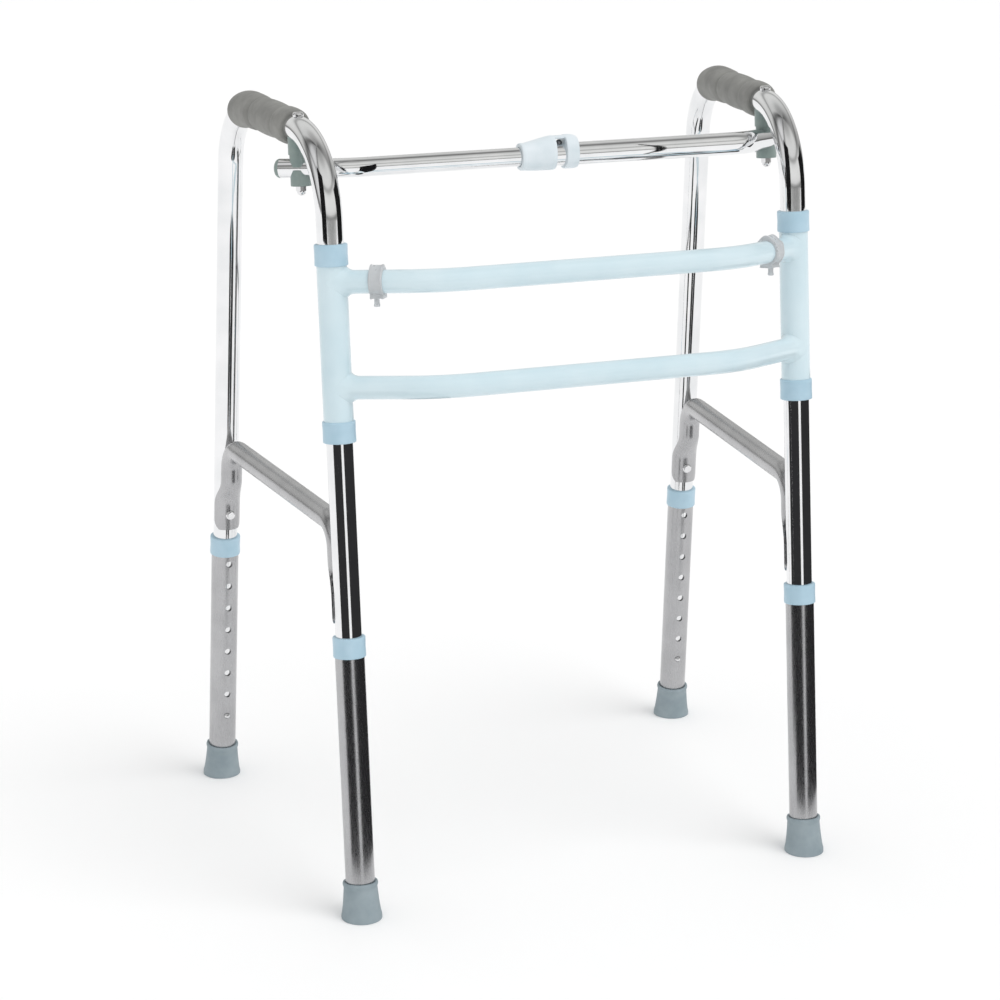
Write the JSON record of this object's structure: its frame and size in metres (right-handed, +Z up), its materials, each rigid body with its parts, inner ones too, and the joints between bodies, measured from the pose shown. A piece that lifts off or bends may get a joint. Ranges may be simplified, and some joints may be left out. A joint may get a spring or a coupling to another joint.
{
  "type": "walking frame",
  "caption": "Folding walking frame: bent side tubes with hand grips and height-adjustable legs swivel in a bowed front frame and lock with a telescopic bar.",
  "frame": {"origin": "on the floor, in the middle of the footprint", "axes": "+Z up, +X to the right of a person who faces the front of the frame from outside it, +Y from the bowed front towards the user"},
  "size_m": [0.5766, 0.4544, 0.7681],
  "materials": {
    "bright_tube": "polished",
    "satin_tube": "satin",
    "blue_paint": "gloss",
    "blue_collar": "satin",
    "grey_tip": "matte",
    "grey_grip": "soft matte",
    "lock_shell": "satin",
    "spacer": "matte",
    "clip": "satin",
    "chrome": "mirror",
    "spring_steel": "brushed"
  },
  "bodies": {
    "front_frame": {"sleeve_left": "blue_paint", "sleeve_right": "blue_paint", "upper_cross_bar": "blue_paint", "lower_cross_bar": "blue_paint", "sleeve_collar_left_upper": "blue_collar", "sleeve_collar_left_lower": "blue_collar", "sleeve_collar_right_upper": "blue_collar", "sleeve_collar_right_lower": "blue_collar", "bar_clip_left": "clip", "bar_clip_right": "clip", "clip_screws": "chrome"},
    "left_side": {"side_tube_left": "bright_tube", "grip_left": "grey_grip", "brace_left": "satin_tube", "brace_rivets_left": "chrome", "handle_saddle_left": "spacer", "pivot_bolt_left": "chrome", "dome_nut_left": "chrome", "stop_tabs_left": "spacer", "button_springs_left": "spring_steel"},
    "leg_front_left": {"lower_tube_front_left": "satin_tube", "leg_collar_front_left": "blue_collar", "rubber_tip_front_left": "grey_tip"},
    "button_front_left": {"snap_button_front_left": "chrome"},
    "leg_rear_left": {"lower_tube_rear_left": "satin_tube", "leg_collar_rear_left": "blue_collar", "rubber_tip_rear_left": "grey_tip"},
    "button_rear_left": {"snap_button_rear_left": "chrome"},
    "right_side": {"side_tube_right": "bright_tube", "grip_right": "grey_grip", "brace_right": "satin_tube", "brace_rivets_right": "chrome", "handle_saddle_right": "spacer", "pivot_bolt_right": "chrome", "dome_nut_right": "chrome", "stop_tabs_right": "spacer", "button_springs_right": "spring_steel"},
    "leg_front_right": {"lower_tube_front_right": "satin_tube", "leg_collar_front_right": "blue_collar", "rubber_tip_front_right": "grey_tip"},
    "button_front_right": {"snap_button_front_right": "chrome"},
    "leg_rear_right": {"lower_tube_rear_right": "satin_tube", "leg_collar_rear_right": "blue_collar", "rubber_tip_rear_right": "grey_tip"},
    "button_rear_right": {"snap_button_rear_right": "chrome"},
    "bar_left": {"bar_inner_tube": "bright_tube", "bar_end_cap_left": "spacer", "pivot_spacers_left": "spacer", "bar_button_spring": "spring_steel"},
    "bar_right": {"bar_outer_tube": "bright_tube", "bar_end_cap_right": "spacer", "pivot_spacers_right": "spacer"},
    "lock_slider": {"release_slider": "lock_shell"},
    "lock_button": {"bar_button": "spring_steel"}
  },
  "joints": [
    {"name": "fold", "type": "hinge", "parent": "front_frame", "child": "left_side", "pos_m": [-0.2383, -0.20736, 0], "axis": [0, -0.1039, -0.9946], "range_deg": [0, 31.5]},
    {"name": "fold_right", "type": "hinge", "parent": "front_frame", "child": "right_side", "pos_m": [0.2383, -0.20736, 0], "axis": [0, 0.1039, 0.9946], "range_deg": [0, 31.5]},
    {"name": "bar_pivot_left", "type": "hinge", "parent": "left_side", "child": "bar_left", "pos_m": [-0.24347, -0.06154, 0.71302], "axis": [0, 0.1039, 0.9946], "range_deg": [0, 31.5]},
    {"name": "bar_pivot_right", "type": "hinge", "parent": "right_side", "child": "bar_right", "pos_m": [0.24347, -0.06154, 0.71302], "axis": [0, -0.1039, -0.9946], "range_deg": [0, 31.5]},
    {"name": "leg_height_front_left", "type": "slide", "parent": "left_side", "child": "leg_front_left", "axis": [0, -0.1039, -0.9946], "range_m": [0, 0.1778]},
    {"name": "button_press_front_left", "type": "slide", "parent": "left_side", "child": "button_front_left", "axis": [0.0727, -0.992, 0.1036], "range_m": [0, 0.0045], "stiffness_N_per_m": 900, "springref_m": -0.001, "deforming": ["snap_button_front_left", "button_springs_left"]},
    {"name": "leg_height_rear_left", "type": "slide", "parent": "left_side", "child": "leg_rear_left", "axis": [-0.0146, 0.0977, -0.9951], "range_m": [0, 0.1778]},
    {"name": "button_press_rear_left", "type": "slide", "parent": "left_side", "child": "button_rear_left", "axis": [-0.0712, 0.9926, 0.0985], "range_m": [0, 0.0045], "stiffness_N_per_m": 900, "springref_m": -0.001, "deforming": ["snap_button_rear_left", "button_springs_left"]},
    {"name": "leg_height_front_right", "type": "slide", "parent": "right_side", "child": "leg_front_right", "axis": [0, -0.1039, -0.9946], "range_m": [0, 0.1778]},
    {"name": "button_press_front_right", "type": "slide", "parent": "right_side", "child": "button_front_right", "axis": [-0.0727, -0.992, 0.1036], "range_m": [0, 0.0045], "stiffness_N_per_m": 900, "springref_m": -0.001, "deforming": ["snap_button_front_right", "button_springs_right"]},
    {"name": "leg_height_rear_right", "type": "slide", "parent": "right_side", "child": "leg_rear_right", "axis": [0.0146, 0.0977, -0.9951], "range_m": [0, 0.1778]},
    {"name": "button_press_rear_right", "type": "slide", "parent": "right_side", "child": "button_rear_right", "axis": [0.0712, 0.9926, 0.0985], "range_m": [0, 0.0045], "stiffness_N_per_m": 900, "springref_m": -0.001, "deforming": ["snap_button_rear_right", "button_springs_right"]},
    {"name": "lock_slide", "type": "slide", "parent": "bar_right", "child": "lock_slider", "axis": [1, 0, 0], "range_m": [0, 0.008], "stiffness_N_per_m": 250, "springref_m": -0.004},
    {"name": "lock_button_press", "type": "slide", "parent": "bar_left", "child": "lock_button", "axis": [0, -0.1039, -0.9946], "range_m": [0, 0.0052], "stiffness_N_per_m": 900, "springref_m": -0.001, "deforming": ["bar_button", "bar_button_spring"]}
  ],
  "couplings": [
    {"joint": "fold_right", "follows": "fold", "ratio": 1},
    {"joint": "bar_pivot_left", "follows": "fold", "ratio": 1},
    {"joint": "bar_pivot_right", "follows": "fold", "ratio": 1}
  ]
}
